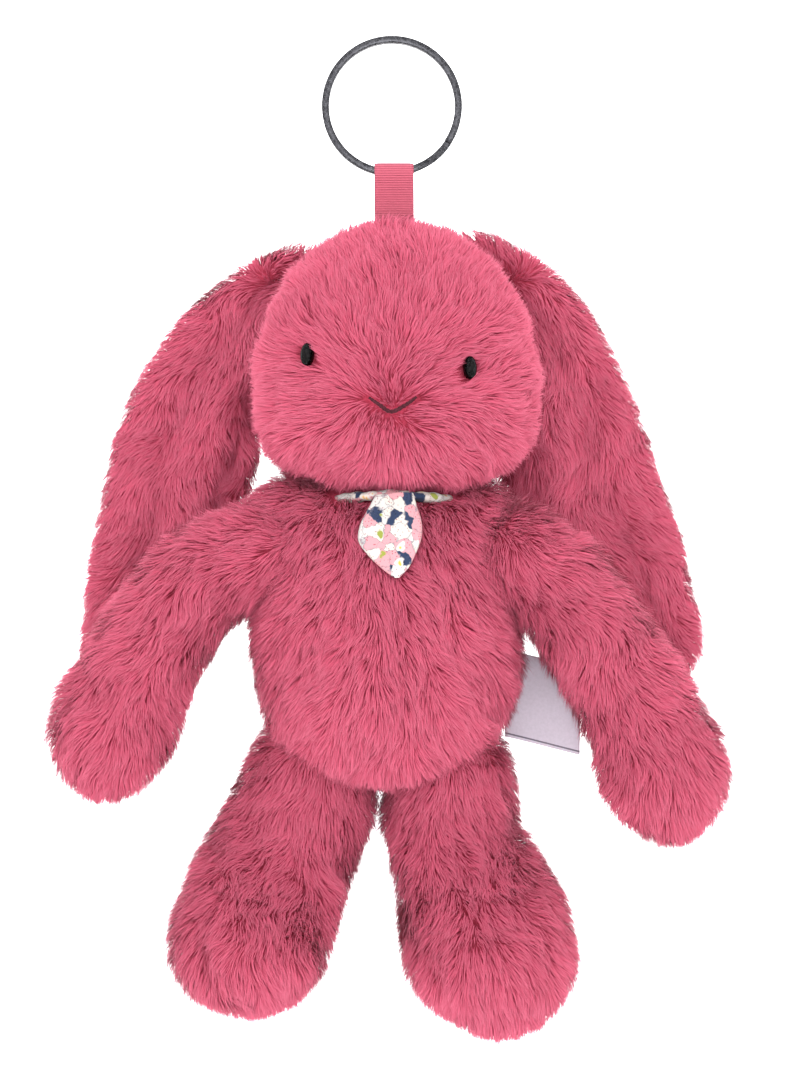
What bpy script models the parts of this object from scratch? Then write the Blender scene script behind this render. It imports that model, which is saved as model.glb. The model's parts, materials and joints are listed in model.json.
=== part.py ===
"""A plush rabbit keychain: split ring, ribbon, and a stuffed body with sewn-on ears, arms and legs.

Metres, +Z up, the face looks towards -Y. The origin is the centre of the split ring.
Left and right are the rabbit's own, so its left side lies at +X.
Outer surfaces of the fur fabric stand at the mean height of the pile.
"""

import math

import bmesh
import bpy
from mathutils import Matrix, Vector

MM = 0.001

# Split ring: one flat wire wound twice, with a step where the turns change over.
RING_OUTER_R = 16.2 * MM
RING_INNER_R = 14.5 * MM
RING_TURN_THICK = 1.1 * MM
RING_TURN_GAP = 0.15 * MM
RING_STEP_AT = math.radians(-52)
RING_STEP_ARC = math.radians(34)
RING_END_GAP = math.radians(2)
RING_SECTIONS = 68
RING_WIRE_BEVEL = 0.25 * MM

# Ribbon: nine millimetres wide, folded over the ring and sewn into the crown.
RIBBON_WIDE = 9.0 * MM
RIBBON_THICK = 0.45 * MM
RIBBON_X = 0.8 * MM
RIBBON_FOLD_Z = -15.0 * MM
RIBBON_FOLD_HALF = 1.5 * MM
RIBBON_INNER_CORNER = 0.5 * MM
RIBBON_OUTER_CORNER = 1.5 * MM
RIBBON_TAB_HALF = 0.5 * MM
RIBBON_TAB_LOW_Z = -30.0 * MM

# Fur fabric and clearances.
WALL = 6.0 * MM
LIMB_WALL = 5.5 * MM
GAP = 0.35 * MM
PARTING = 0.3 * MM

# Head and torso: an egg each, given by its top, its widest height and its bottom.
HEAD = {"x": 1.0, "y": 0.0, "top": -25.5, "wide": -64.2, "bottom": -88.5, "half_x": 33.0,
        "half_y": 26.0, "upper_power": 2.0, "lower_power": 2.9}
TORSO = {"x": -2.2, "y": 0.0, "top": -90.2, "wide": -124.5, "bottom": -157.2, "half_x": 30.8,
         "half_y": 24.0, "upper_power": 2.3, "lower_power": 2.0}
EGG_SEGMENTS = 20
EGG_RINGS = 12
EGG_CAP_SHARE = 0.035

# Neck: a ball on the torso in a hollow of the head, with the scarf band around it.
NECK = Vector((0, 0, -89.5)) * MM
NECK_BALL_R = 8.0 * MM
NECK_SOCKET_GAP = 0.7 * MM
NECK_RECESS_R = 17.5 * MM
HEAD_UNDERSIDE_Z = -85.9 * MM
TORSO_SHOULDER_Z = -94.6 * MM
BAND_MID_R = 14.0 * MM
BAND_HALF_WIDE = 2.4 * MM
BAND_HALF_TALL = 1.2 * MM
BAND_Z = -90.5 * MM

# Scarf end: a leaf of folded cotton that hangs from the band on the chest.
TIE_HINGE = Vector((0, -17.4, -89.8)) * MM
TIE_SLANT = 0.33
TIE_HALF_THICK = 0.4 * MM
TIE_LEAF = [(-0.2, 0.5, 2.6), (-3.0, 0.0, 5.2), (-8.5, -0.4, 7.7), (-13.0, 0.2, 6.3), (-16.5, 1.0, 3.4),
            (-18.4, 1.3, 0.8)]

# Eyes: domes on shanks, with a washer inside the fabric.
EYE_SPOTS = {"left": (18.2, -60.1), "right": (-19.8, -57.1)}
EYE_R = 2.8 * MM
EYE_HEIGHT = 2.2 * MM
EYE_SINK = 4.4 * MM
EYE_POCKET_R = 3.3 * MM
SHANK_R = 1.0 * MM
SHANK_LENGTH = 6.0 * MM
SHANK_HOLE_R = 1.4 * MM
EYE_LAST_LEAN = math.radians(86)
WASHER_R = 3.6 * MM
WASHER_THICK = 1.0 * MM
WASHER_ROOM = 6.5 * MM

# Mouth: one thread in a shallow V across the muzzle.
MOUTH_POINTS = [(-5.3, -67.2), (-3.2, -68.9), (-0.5, -70.5), (2.6, -68.9), (5.7, -66.9)]
MOUTH_THREAD_R = 0.4 * MM
MOUTH_STAND_OFF = 0.8 * MM

# Ears: (x, z, half width) from the root to the tip.
EAR_PIVOTS = {"left": (27.0, -39.5), "right": (-26.0, -40.5)}
EAR_ROOT_R = 9.5
EAR_PATHS = {
    "left": [(27, -39.5, 9.5), (36, -50, 11), (43, -64, 12.8), (47.5, -79, 13.2), (52.5, -94, 12),
             (58.5, -109, 10), (64, -122, 7), (68.5, -132, 0)],
    "right": [(-26, -40.5, 9.5), (-38, -51, 11), (-46.5, -65, 12.8), (-51.5, -81, 13.2), (-56.5, -97, 11.5),
              (-61, -112, 9.5), (-65, -124, 7), (-67.5, -132, 0)],
}
EAR_FRONT_Y = 10.0 * MM
EAR_THICK = 9.0 * MM
EAR_EDGE = 1.6 * MM
EAR_SPANS = 10
EAR_ROOM_GAP = 0.6

# Limbs: facets round each section and steps along the path, and the open mouth at the sewn root.
LIMB_SEGMENTS = 12
ARM_SPANS = 8
LEG_SPANS = 10
MOUTH_R = 4.0 * MM
MOUTH_DEEP = 9.0 * MM

# Arms: (x, z, half width) from the shoulder to the paw.
SHOULDER_R = 12.5
ARM_Y = -4.5
ARM_PATHS = {
    "left": [(28.4, -103, 12.5), (38, -110.5, 12.8), (47.5, -123.5, 13.2), (57.5, -140.5, 13.9),
             (63.5, -156, 14.6), (66.5, -171, 0)],
    "right": [(-28, -102.5, 12.5), (-39.5, -107, 12.8), (-49, -115.5, 13.2), (-58, -130, 13.7),
              (-65, -146, 14.6), (-68, -161, 0)],
}
ARM_HALF_DEPTH = 12.0
ARM_LOWERED = math.radians(5)
ARMPIT_GAP = 0.4 * MM
SHOULDER_RECESS_R = 13.4 * MM

# Legs: (x, y, z, half width, half depth) from the hip to the sole.
HIPS = {"left": (14.5, 3.0, -152.8), "right": (-19.0, 3.0, -152.8)}
HIP_R = 13.0
HIP_HALF_X = 14.5
LEG_PATHS = {
    "left": [(14.5, 3, -152.8, 14.5, 13), (15, 3, -162, 15.3, 13), (16, 2, -169, 15.8, 13.2),
             (19, 0, -177, 18, 14.5), (21.3, -4, -185, 19.8, 17.5), (22.6, -6, -193, 20.2, 19),
             (23.6, -6.5, -201, 19, 17), (24, -6.5, -209, 14, 11), (24, -6.5, -216.5, 0, 0)],
    "right": [(-19, 3, -152.8, 14.5, 13), (-21.5, 3, -161.5, 15.8, 13), (-24.5, 2, -169, 17, 13.2),
              (-28, 0, -177, 18.4, 14.5), (-31.2, -4, -185, 18.8, 17.5), (-33, -6, -192, 19, 18.6),
              (-32.7, -6.5, -199, 17.6, 16), (-32, -6.5, -205.5, 12.5, 10.5), (-32, -6.5, -210.7, 0, 0)],
}
LEG_FORWARD = math.radians(70)
LEG_BACK = math.radians(15)
HIP_RECESS_R = 13.5 * MM
HIP_RECESS_HALF_X = 15.2 * MM

# Label and tail.
LABEL_X = (27.0 * MM, 44.0 * MM)
LABEL_Y = 8.6 * MM
LABEL_Z = (-147.0 * MM, -125.2 * MM)
LABEL_THICK = 0.4 * MM
TAIL_CENTRE = Vector((-2, 31.0, -138)) * MM
TAIL_R = 8.0 * MM

COLOURS = {
    "fur": (0.60, 0.075, 0.155),
    "ribbon": (0.66, 0.11, 0.18),
    "cotton": (0.75, 0.62, 0.66),
    "satin": (0.72, 0.66, 0.74),
    "eye": (0.004, 0.004, 0.005),
    "thread": (0.10, 0.008, 0.02),
    "steel": (0.03, 0.03, 0.035),
    "washer": (0.7, 0.7, 0.7),
    "filling": (0.85, 0.85, 0.83),
}


def clear_scene():
    for item in list(bpy.data.objects):
        bpy.data.objects.remove(item)


def material(name, roughness=0.9, metallic=0.0):
    made = bpy.data.materials.get(name) or bpy.data.materials.new(name)
    made.use_nodes = True
    shader = made.node_tree.nodes["Principled BSDF"]
    shader.inputs["Base Color"].default_value = (*COLOURS[name], 1)
    shader.inputs["Roughness"].default_value = roughness
    shader.inputs["Metallic"].default_value = metallic
    return made


def add_object(name, mesh_maker, finish=None, origin=(0, 0, 0)):
    """An object from a bmesh in world coordinates, with its origin moved to a joint's axis."""
    bmesh.ops.recalc_face_normals(mesh_maker, faces=mesh_maker.faces)
    bmesh.ops.translate(mesh_maker, verts=mesh_maker.verts, vec=-Vector(origin))
    mesh = bpy.data.meshes.new(name)
    mesh_maker.to_mesh(mesh)
    mesh_maker.free()
    mesh.shade_smooth()
    mesh.set_sharp_from_angle(angle=math.radians(40))
    made = bpy.data.objects.new(name, mesh)
    made.location = origin
    bpy.context.scene.collection.objects.link(made)
    if finish:
        mesh.materials.append(finish)
    return made


def hide_tool(tool):
    tool.hide_render = True
    tool.display_type = "WIRE"
    return tool


def cut(target, *cutters):
    for cutter in cutters:
        modifier = target.modifiers.new("cut_" + cutter.name, "BOOLEAN")
        modifier.operation = "DIFFERENCE"
        modifier.solver = "EXACT"
        modifier.object = cutter


def join(target, tool):
    modifier = target.modifiers.new("join_" + tool.name, "BOOLEAN")
    modifier.operation = "UNION"
    modifier.solver = "EXACT"
    modifier.object = tool


def skin(sections):
    """A closed bmesh through sections of equally many points, with a flat cap on each end."""
    made = bmesh.new()
    rows = [[made.verts.new(point) for point in section] for section in sections]
    count = len(rows[0])
    for low, high in zip(rows, rows[1:]):
        for i in range(count):
            j = (i + 1) % count
            made.faces.new((low[i], low[j], high[j], high[i]))
    made.faces.new(rows[0][::-1])
    made.faces.new(rows[-1])
    return made


def shrunk(mesh_maker, distance):
    """The same bmesh with every point moved inwards along its normal."""
    bmesh.ops.recalc_face_normals(mesh_maker, faces=mesh_maker.faces)
    mesh_maker.normal_update()
    moves = [(vert, vert.normal * distance) for vert in mesh_maker.verts]
    for vert, move in moves:
        vert.co -= move
    return mesh_maker


def curve_value(values, at):
    """A Catmull-Rom curve through evenly spaced values."""
    last = len(values) - 1
    i = min(int(at), last - 1)
    t = at - i
    before = values[i - 1] if i > 0 else 2 * values[0] - values[1]
    after = values[i + 2] if i + 2 <= last else 2 * values[last] - values[last - 1]
    a, b = values[i], values[i + 1]
    bend = 2 * before - 5 * a + 4 * b - after
    return 0.5 * (2 * a + (b - before) * t + bend * t * t + (3 * (a - b) + after - before) * t ** 3)


def egg_size(egg, z):
    """Half width and half depth of an egg at height z, all in millimetres."""
    if z > egg["wide"]:
        share, power = (z - egg["wide"]) / (egg["top"] - egg["wide"]), egg["upper_power"]
    else:
        share, power = (egg["wide"] - z) / (egg["wide"] - egg["bottom"]), egg["lower_power"]
    size = max(0.0, 1 - min(1.0, share) ** power) ** (1 / power)
    return size * egg["half_x"], size * egg["half_y"]


def egg_mesh(egg):
    middle = (egg["top"] + egg["bottom"]) / 2
    half = (egg["top"] - egg["bottom"]) / 2
    sections = []
    for k in range(EGG_RINGS + 1):
        tilt = math.pi * (EGG_CAP_SHARE + (1 - 2 * EGG_CAP_SHARE) * k / EGG_RINGS)
        z = middle - half * math.cos(tilt)
        half_x, half_y = egg_size(egg, z)
        section = []
        for i in range(EGG_SEGMENTS):
            turn = math.tau * i / EGG_SEGMENTS
            point = Vector((egg["x"] + half_x * math.cos(turn), egg["y"] + half_y * math.sin(turn), z))
            section.append(point * MM)
        sections.append(section)
    return skin(sections)


def head_surface(x, z):
    """The point of the face at x, z (millimetres), and the outward direction there."""
    half_x, half_y = egg_size(HEAD, z)
    side = (x - HEAD["x"]) / half_x
    y = -half_y * math.sqrt(1 - side * side)
    rise = 0.5 * (egg_size(HEAD, z - 1)[1] - egg_size(HEAD, z + 1)[1]) / HEAD["half_y"]
    outward = Vector((side / half_x, y / half_y ** 2, rise / HEAD["half_y"])).normalized()
    return Vector((x, y, z)) * MM, outward


def limb_mesh(root_r, root_half, stations, segments, spans):
    """A closed limb: half a ball at the root, then round sections along the stations to a rounded end.

    Each station is (x, y, z, half width, half depth) in millimetres. Sections lie across the path
    in the XZ plane, and their depth is along Y.
    """
    start = Vector(stations[0][:3])
    heading = Vector(stations[1][:3]) - start
    heading.y = 0
    heading.normalize()
    rows = []
    for k in range(1, 5):
        lean = math.radians(90 * (1 - k / 5))
        centre = start - heading * root_r * math.sin(lean)
        rows.append((centre, heading, root_half * math.cos(lean), stations[0][4] * math.cos(lean)))
    last = len(stations) - 1
    squares = [(s[0], s[1], s[2], s[3] ** 2, s[4] ** 2) for s in stations]
    columns = list(zip(*squares))
    for k in range(spans + 1):
        share = k / spans
        at = last * math.sin(share * math.pi / 2) if share < 1 else last - 0.01
        here = [curve_value(column, at) for column in columns]
        ahead = [curve_value(column, min(last, at + 0.05)) for column in columns[:3]]
        back = [curve_value(column, max(0, at - 0.05)) for column in columns[:3]]
        way = Vector((ahead[0] - back[0], 0, ahead[2] - back[2])).normalized()
        if k == 0:
            way = heading
        rows.append((Vector(here[:3]), way, math.sqrt(max(here[3], 0.5)), math.sqrt(max(here[4], 0.5))))
    sections = []
    for centre, way, half_wide, half_deep in rows:
        across = Vector((way.z, 0, -way.x))
        section = []
        for i in range(segments):
            turn = math.tau * i / segments
            forward = Vector((0, half_deep * math.sin(turn), 0))
            section.append((centre + across * half_wide * math.cos(turn) + forward) * MM)
        sections.append(section)
    return skin(sections)


def ball(name, centre, radius):
    made = bmesh.new()
    bmesh.ops.create_uvsphere(made, u_segments=16, v_segments=10, radius=radius)
    bmesh.ops.translate(made, verts=made.verts, vec=centre)
    return hide_tool(add_object(name, made))


def rod_mesh(start, along, radius, length, segments=16):
    made = bmesh.new()
    bmesh.ops.create_cone(made, cap_ends=True, segments=segments, radius1=radius, radius2=radius,
                          depth=length)
    turn = Vector(along).to_track_quat("Z", "Y").to_matrix().to_4x4()
    place = Matrix.Translation(Vector(start) + Vector(along) * length / 2)
    bmesh.ops.transform(made, matrix=place @ turn, verts=made.verts)
    return made


def box_mesh(low, high):
    made = bmesh.new()
    bmesh.ops.create_cube(made, size=1)
    centre = (Vector(low) + Vector(high)) / 2
    size = Vector(high) - Vector(low)
    for vert in made.verts:
        vert.co = centre + Vector(vert.co[i] * size[i] for i in range(3))
    return made


def build_split_ring():
    offset = (RING_TURN_THICK + RING_TURN_GAP) / 2
    half_thick = RING_TURN_THICK / 2
    bevel = RING_WIRE_BEVEL
    first = RING_STEP_AT + RING_STEP_ARC / 2 + RING_END_GAP
    last = RING_STEP_AT + 2 * math.tau - RING_STEP_ARC / 2 - RING_END_GAP
    step_start = RING_STEP_AT + math.tau - RING_STEP_ARC / 2
    sections = []
    for k in range(RING_SECTIONS + 1):
        angle = first + (last - first) * k / RING_SECTIONS
        share = min(1, max(0, (angle - step_start) / RING_STEP_ARC))
        y = offset * (2 * share * share * (3 - 2 * share) - 1)
        outward = Vector((math.cos(angle), 0, math.sin(angle)))
        corners = [
            (RING_INNER_R, -half_thick + bevel), (RING_INNER_R + bevel, -half_thick),
            (RING_OUTER_R - bevel, -half_thick), (RING_OUTER_R, -half_thick + bevel),
            (RING_OUTER_R, half_thick - bevel), (RING_OUTER_R - bevel, half_thick),
            (RING_INNER_R + bevel, half_thick), (RING_INNER_R, half_thick - bevel),
        ]
        sections.append([outward * radius + Vector((0, y + side, 0)) for radius, side in corners])
    add_object("split_ring", skin(sections), material("steel", 0.3, 1.0))


def rounded_square(half, corner, per_corner=3):
    points = []
    for quarter in range(4):
        centre = Vector((half - corner, half - corner))
        centre.rotate(Matrix.Rotation(quarter * math.pi / 2, 2))
        for i in range(per_corner + 1):
            angle = (quarter + i / per_corner) * math.pi / 2
            points.append(centre + corner * Vector((math.cos(angle), math.sin(angle))))
    return points


def build_ribbon():
    finish = material("ribbon")
    loop = bmesh.new()
    ends = (RIBBON_X - RIBBON_WIDE / 2, RIBBON_X + RIBBON_WIDE / 2)
    outer = rounded_square(RIBBON_FOLD_HALF + RIBBON_THICK, RIBBON_OUTER_CORNER)
    inner = rounded_square(RIBBON_FOLD_HALF, RIBBON_INNER_CORNER)
    rims = []
    for outline, x in ((outer, ends[0]), (outer, ends[1]), (inner, ends[1]), (inner, ends[0])):
        rims.append([loop.verts.new((x, p.x, RIBBON_FOLD_Z + p.y)) for p in outline])
    for a, b in zip(rims, rims[1:] + rims[:1]):
        for i in range(len(a)):
            j = (i + 1) % len(a)
            loop.faces.new((a[i], a[j], b[j], b[i]))
    add_object("ribbon_loop", loop, finish)
    top = RIBBON_FOLD_Z - RIBBON_FOLD_HALF - RIBBON_THICK - GAP
    low = (ends[0], -RIBBON_TAB_HALF, RIBBON_TAB_LOW_Z)
    add_object("ribbon_tab", box_mesh(low, (ends[1], RIBBON_TAB_HALF, top)), finish,
               origin=(0, 0, RIBBON_FOLD_Z))
    slot_low = Vector(low) - Vector((GAP, GAP, GAP))
    slot_high = Vector((ends[1] + GAP, RIBBON_TAB_HALF + GAP, top))
    return hide_tool(add_object("crown_slot", box_mesh(slot_low, slot_high)))


def eye_tools(side):
    """The pocket, the shank hole and the washer's room of one eye, as cutters."""
    spot, outward = head_surface(*EYE_SPOTS[side])
    seat = spot - outward * EYE_SINK
    pocket = rod_mesh(seat, outward, EYE_POCKET_R, 2 * WALL)
    hole = rod_mesh(seat + outward * MM, -outward, SHANK_HOLE_R, WALL)
    inside = spot - outward * (WALL - 0.5 * MM)
    room = rod_mesh(inside, -outward, WASHER_R + GAP, WASHER_ROOM)
    tools = {"eye_pocket_": pocket, "shank_hole_": hole, "washer_room_": room}
    return [hide_tool(add_object(name + side, tool)) for name, tool in tools.items()]


def build_eye(side):
    spot, outward = head_surface(*EYE_SPOTS[side])
    seat = spot - outward * (EYE_SINK - GAP)
    sections = []
    outline = [(-SHANK_LENGTH, SHANK_R), (0, SHANK_R), (0, EYE_R)]
    for k in range(1, 7):
        lean = EYE_LAST_LEAN * k / 6
        outline.append((EYE_HEIGHT * math.sin(lean), EYE_R * math.cos(lean)))
    turn = outward.to_track_quat("Z", "Y").to_matrix()
    for height, radius in outline:
        section = []
        for i in range(20):
            angle = math.tau * i / 20
            point = Vector((radius * math.cos(angle), radius * math.sin(angle), height))
            section.append(seat + turn @ point)
        sections.append(section)
    add_object("eye_" + side, skin(sections), material("eye", 0.08))
    washer_at = spot - outward * (WALL + GAP)
    washer = rod_mesh(washer_at, -outward, WASHER_R, WASHER_THICK)
    washer_node = add_object("eye_washer_" + side, washer, material("washer", 0.5))
    bore = rod_mesh(washer_at + outward * MM, -outward, SHANK_HOLE_R, 4 * WASHER_THICK)
    cut(washer_node, hide_tool(add_object("washer_bore_" + side, bore)))


def build_mouth():
    sections = []
    path = [head_surface(x, z)[0] + Vector((0, -MOUTH_STAND_OFF, 0)) for x, z in MOUTH_POINTS]
    for i, point in enumerate(path):
        way = (path[min(i + 1, len(path) - 1)] - path[max(i - 1, 0)]).normalized()
        turn = way.to_track_quat("Z", "Y").to_matrix()
        section = []
        for k in range(8):
            angle = math.tau * k / 8
            section.append(point + turn @ Vector((math.cos(angle), math.sin(angle), 0)) * MOUTH_THREAD_R)
        sections.append(section)
    add_object("mouth_stitch", skin(sections), material("thread"))


def ear_sections(side, low_y, high_y, grow, bulge):
    """Sections of an ear between two depths. bulge is -1 or 1 for a panel's rounded side, 0 for a block."""
    stations = EAR_PATHS[side]
    start = Vector((stations[0][0], 0, stations[0][1]))
    heading = (Vector((stations[1][0], 0, stations[1][1])) - start).normalized()
    rows = []
    for k in range(1, 5):
        lean = math.radians(90 * (1 - k / 5))
        rows.append((start - heading * EAR_ROOT_R * math.sin(lean), heading, EAR_ROOT_R * math.cos(lean)))
    last = len(stations) - 1
    xs, zs, halves = [list(column) for column in zip(*stations)]
    squares = [half ** 2 for half in halves]
    for k in range(EAR_SPANS + 1):
        at = last * (1 - (1 - k / EAR_SPANS) ** 1.4) if k < EAR_SPANS else last - 0.02
        here = Vector((curve_value(xs, at), 0, curve_value(zs, at)))
        ahead, back = min(last, at + 0.05), max(0, at - 0.05)
        run = curve_value(xs, ahead) - curve_value(xs, back)
        rise = curve_value(zs, ahead) - curve_value(zs, back)
        way = Vector((run, 0, rise))
        half = math.sqrt(max(curve_value(squares, at), 0.5))
        rows.append((here, way.normalized() if k else heading, half))
    sections = []
    for centre, way, half in rows:
        across = Vector((way.z, 0, -way.x))
        half += grow
        thin = min(1.0, half / 6)
        section = []
        for i in range(7):
            angle = math.pi * i / 6
            round_y = EAR_EDGE + (EAR_THICK / 2 - EAR_EDGE) * math.sin(angle) * thin
            if bulge < 0:
                y = high_y - round_y
            elif bulge > 0:
                y = low_y + round_y
            else:
                y = low_y
            section.append((centre + across * half * math.cos(angle)) * MM + Vector((0, y, 0)))
        flat_y = low_y if bulge > 0 else high_y
        for share in (-1, 0, 1):
            section.append((centre + across * half * share) * MM + Vector((0, flat_y, 0)))
        sections.append(section)
    return sections


def build_ear(side):
    middle = EAR_FRONT_Y + EAR_THICK / 2
    pivot = (EAR_PIVOTS[side][0] * MM, middle, EAR_PIVOTS[side][1] * MM)
    finish = material("fur")
    front = ear_sections(side, EAR_FRONT_Y, middle - PARTING / 2, 0, -1)
    add_object("ear_" + side + "_front_panel", skin(front), finish, origin=pivot)
    back = ear_sections(side, middle + PARTING / 2, EAR_FRONT_Y + EAR_THICK, 0, 1)
    add_object("ear_" + side + "_back_panel", skin(back), finish, origin=pivot)
    room_front = EAR_FRONT_Y - EAR_ROOM_GAP * MM
    room_back = EAR_FRONT_Y + EAR_THICK + EAR_ROOM_GAP * MM
    room = ear_sections(side, room_front, room_back, EAR_ROOM_GAP, 0)
    return hide_tool(add_object("ear_room_" + side, skin(room)))


def build_head(crown_slot, ear_rooms):
    finish = material("fur")
    shell = add_object("head_shell", egg_mesh(HEAD), finish, origin=(0, 0, RIBBON_FOLD_Z))
    cavity = hide_tool(add_object("head_cavity", shrunk(egg_mesh(HEAD), WALL)))
    underside = rod_mesh((0, 0, HEAD_UNDERSIDE_Z), (0, 0, -1), NECK_RECESS_R, 12 * MM, 20)
    recess = hide_tool(add_object("neck_recess", underside))
    socket = ball("neck_socket", NECK, NECK_BALL_R + NECK_SOCKET_GAP)
    cut(shell, cavity, recess, socket, crown_slot, *ear_rooms)
    stuffing = add_object("head_stuffing", shrunk(egg_mesh(HEAD), WALL + GAP), material("filling"))
    cut(stuffing, socket, *ear_rooms)
    for side in ("left", "right"):
        pocket, hole, room = eye_tools(side)
        cut(shell, pocket, hole, room)
        cut(stuffing, room)
        build_eye(side)
    build_mouth()


def build_scarf():
    finish = material("cotton")
    band = bmesh.new()
    rows = []
    for i in range(28):
        turn = math.tau * i / 28
        outward = Vector((math.cos(turn), math.sin(turn), 0))
        row = []
        for k in range(8):
            angle = math.tau * (k + 0.5) / 8
            radius = BAND_MID_R + BAND_HALF_WIDE * math.cos(angle)
            z = BAND_Z + BAND_HALF_TALL * math.sin(angle)
            row.append(band.verts.new(outward * radius + Vector((0, 0, z))))
        rows.append(row)
    for row, after in zip(rows, rows[1:] + rows[:1]):
        for k in range(8):
            band.faces.new((row[k], after[k], after[(k + 1) % 8], row[(k + 1) % 8]))
    add_object("scarf_band", band, finish, origin=NECK)
    sections = []
    drops, shifts, halves = [list(column) for column in zip(*TIE_LEAF)]
    for k in range(13):
        at = (len(TIE_LEAF) - 1) * k / 12
        drop, shift, half = (curve_value(column, at) for column in (drops, shifts, halves))
        centre = TIE_HINGE + Vector((shift, TIE_SLANT * drop, drop)) * MM
        section = []
        for side, y in ((-1, 0), (-0.8, -1), (0, -1.3), (0.8, -1), (1, 0), (0.8, 1), (0, 1), (-0.8, 1)):
            section.append(centre + Vector((side * half * MM, y * TIE_HALF_THICK, 0)))
        sections.append(section)
    add_object("scarf_tie", skin(sections), finish, origin=TIE_HINGE)


def hip_recess():
    """The room both thighs sweep between their limits: an outline in YZ, extruded along X."""
    y, z = HIPS["left"][1] * MM, HIPS["left"][2] * MM
    reach = 50 * MM
    outline = []
    for swing, sign in ((LEG_FORWARD, 1), (-LEG_BACK, -1)):
        along = Vector((-math.sin(swing), -math.cos(swing)))
        normal = Vector((-math.cos(swing), math.sin(swing))) * sign
        outline.append(normal * HIP_RECESS_R + along * reach)
    first = math.atan2(math.sin(LEG_FORWARD), -math.cos(LEG_FORWARD))
    last = math.atan2(math.sin(LEG_BACK), math.cos(LEG_BACK))
    arc = []
    for k in range(13):
        angle = first + (last - first) * k / 12
        arc.append(Vector((math.cos(angle), math.sin(angle))) * HIP_RECESS_R)
    middle_swing = (LEG_FORWARD - LEG_BACK) / 2
    far = Vector((-math.sin(middle_swing), -math.cos(middle_swing))) * reach * 1.3
    points = [outline[0], *arc, outline[1], far]
    ends = (HIPS["right"][0] * MM - HIP_RECESS_HALF_X, HIPS["left"][0] * MM + HIP_RECESS_HALF_X)
    sections = [[Vector((x, y + p.x, z + p.y)) for p in points] for x in ends]
    return hide_tool(add_object("hip_room", skin(sections)))


def arm_stations(side):
    stations = [(x, ARM_Y, z, half, ARM_HALF_DEPTH if half else 0) for x, z, half in ARM_PATHS[side]]
    stations[0] = (*stations[0][:4], SHOULDER_R)
    return stations


def arm_mesh(stations):
    return limb_mesh(SHOULDER_R, SHOULDER_R, stations, LIMB_SEGMENTS, ARM_SPANS)


def leg_mesh(stations):
    return limb_mesh(HIP_R, HIP_HALF_X, stations, LIMB_SEGMENTS, LEG_SPANS)


def armpit_room(side, lowered):
    """The arm itself, grown by the running gap and lowered by an angle, as a cutter for the torso."""
    stations = arm_stations(side)
    room = shrunk(arm_mesh(stations), -ARMPIT_GAP)
    pivot = Vector(stations[0][:3]) * MM
    inwards = lowered if side == "left" else -lowered
    bmesh.ops.rotate(room, cent=pivot, matrix=Matrix.Rotation(inwards, 3, "Y"), verts=room.verts)
    return hide_tool(add_object(f"armpit_{side}_{round(math.degrees(lowered))}", room))


def build_torso():
    shell = add_object("torso_shell", egg_mesh(TORSO), material("fur"), origin=NECK)
    cavity = hide_tool(add_object("torso_cavity", shrunk(egg_mesh(TORSO), WALL)))
    above = rod_mesh((0, 0, TORSO_SHOULDER_Z), (0, 0, 1), 2 * NECK_RECESS_R, 12 * MM, 20)
    flat_top = hide_tool(add_object("neck_flat", above))
    rooms = [hip_recess()]
    armpits = []
    for side, path in ARM_PATHS.items():
        centre = Vector((path[0][0], ARM_Y, path[0][1])) * MM
        rooms.append(ball("shoulder_room_" + side, centre, SHOULDER_RECESS_R))
        armpits += [armpit_room(side, lowered) for lowered in (0, ARM_LOWERED)]
    cut(shell, flat_top)
    join(shell, ball("neck_ball", NECK, NECK_BALL_R))
    cut(shell, cavity, *rooms, *armpits)
    stuffing = add_object("torso_stuffing", shrunk(egg_mesh(TORSO), WALL + GAP), material("filling"))
    cut(stuffing, *rooms)
    tail = bmesh.new()
    bmesh.ops.create_uvsphere(tail, u_segments=12, v_segments=8, radius=TAIL_R)
    bmesh.ops.translate(tail, verts=tail.verts, vec=TAIL_CENTRE)
    add_object("tail", tail, material("fur"))
    label = box_mesh((LABEL_X[0], LABEL_Y, LABEL_Z[0]), (LABEL_X[1], LABEL_Y + LABEL_THICK, LABEL_Z[1]))
    add_object("label", label, material("satin", 0.4), origin=(LABEL_X[0], LABEL_Y, LABEL_Z[0]))


def build_limb(name, make_mesh, stations):
    """A shell of fur fabric, open at its root, around its stuffing."""
    origin = Vector(stations[0][:3]) * MM
    shell = add_object(name + "_shell", make_mesh(stations), material("fur"), origin=origin)
    cavity = hide_tool(add_object(name + "_cavity", shrunk(make_mesh(stations), LIMB_WALL)))
    cut(shell, cavity)
    stuffing = shrunk(make_mesh(stations), LIMB_WALL + GAP)
    add_object(name + "_stuffing", stuffing, material("filling"), origin=origin)
    return shell


def build_arm(side):
    stations = arm_stations(side)
    shell = build_limb("arm_" + side, arm_mesh, stations)
    start, following = Vector(stations[0][:3]), Vector(stations[1][:3])
    heading = (following - start).normalized()
    outside = start - heading * (SHOULDER_R + 1.5)
    mouth = rod_mesh(outside * MM, heading, MOUTH_R, MOUTH_DEEP, 10)
    cut(shell, hide_tool(add_object("arm_mouth_" + side, mouth)))


def build_leg(side):
    shell = build_limb("leg_" + side, leg_mesh, LEG_PATHS[side])
    top = Vector(HIPS[side]) + Vector((0, 0, HIP_R + 1))
    mouth = rod_mesh(top * MM, (0, 0, -1), MOUTH_R, MOUTH_DEEP, 10)
    cut(shell, hide_tool(add_object("leg_mouth_" + side, mouth)))


def build_rabbit():
    clear_scene()
    build_split_ring()
    crown_slot = build_ribbon()
    ear_rooms = [build_ear(side) for side in EAR_PATHS]
    build_head(crown_slot, ear_rooms)
    build_scarf()
    build_torso()
    for side in ("left", "right"):
        build_arm(side)
        build_leg(side)


build_rabbit()
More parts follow.
